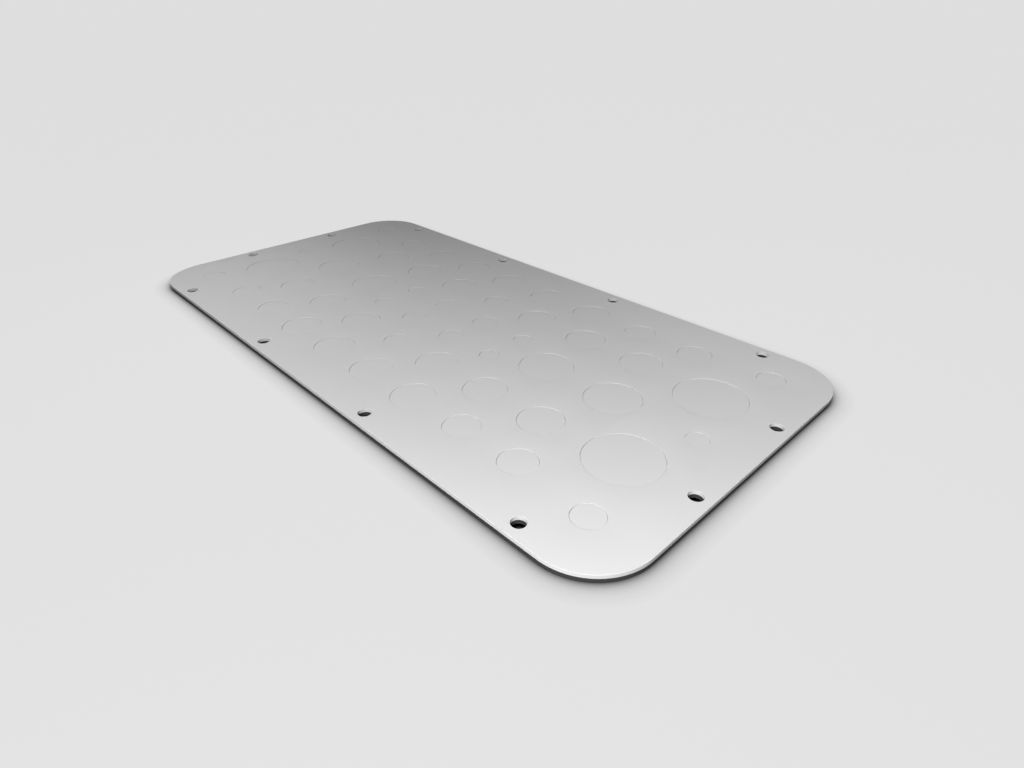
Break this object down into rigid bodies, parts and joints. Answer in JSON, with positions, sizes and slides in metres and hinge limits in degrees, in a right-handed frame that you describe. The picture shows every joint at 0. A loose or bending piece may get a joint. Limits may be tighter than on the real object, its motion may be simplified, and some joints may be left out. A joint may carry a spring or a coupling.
{
  "type": "cable entry plate",
  "caption": "Flat sheet-steel cable entry plate with round corners, rows of knock-outs for metric cable glands, fixing holes round the edge and a flat sealing gasket under its rim.",
  "frame": {"origin": "centre of the gasket's underside, the face that meets the enclosure", "axes": "+X along the long sides, +Y across the plate, +Z out of the plate's outer face"},
  "size_m": [0.437, 0.2214, 0.004],
  "materials": {
    "coated_steel": "matt light grey powder coat on sheet steel",
    "seal_rubber": "dull dark grey flat rubber"
  },
  "bodies": {
    "root": {"entry_plate": "coated_steel", "gasket": "seal_rubber"}
  },
  "joints": []
}
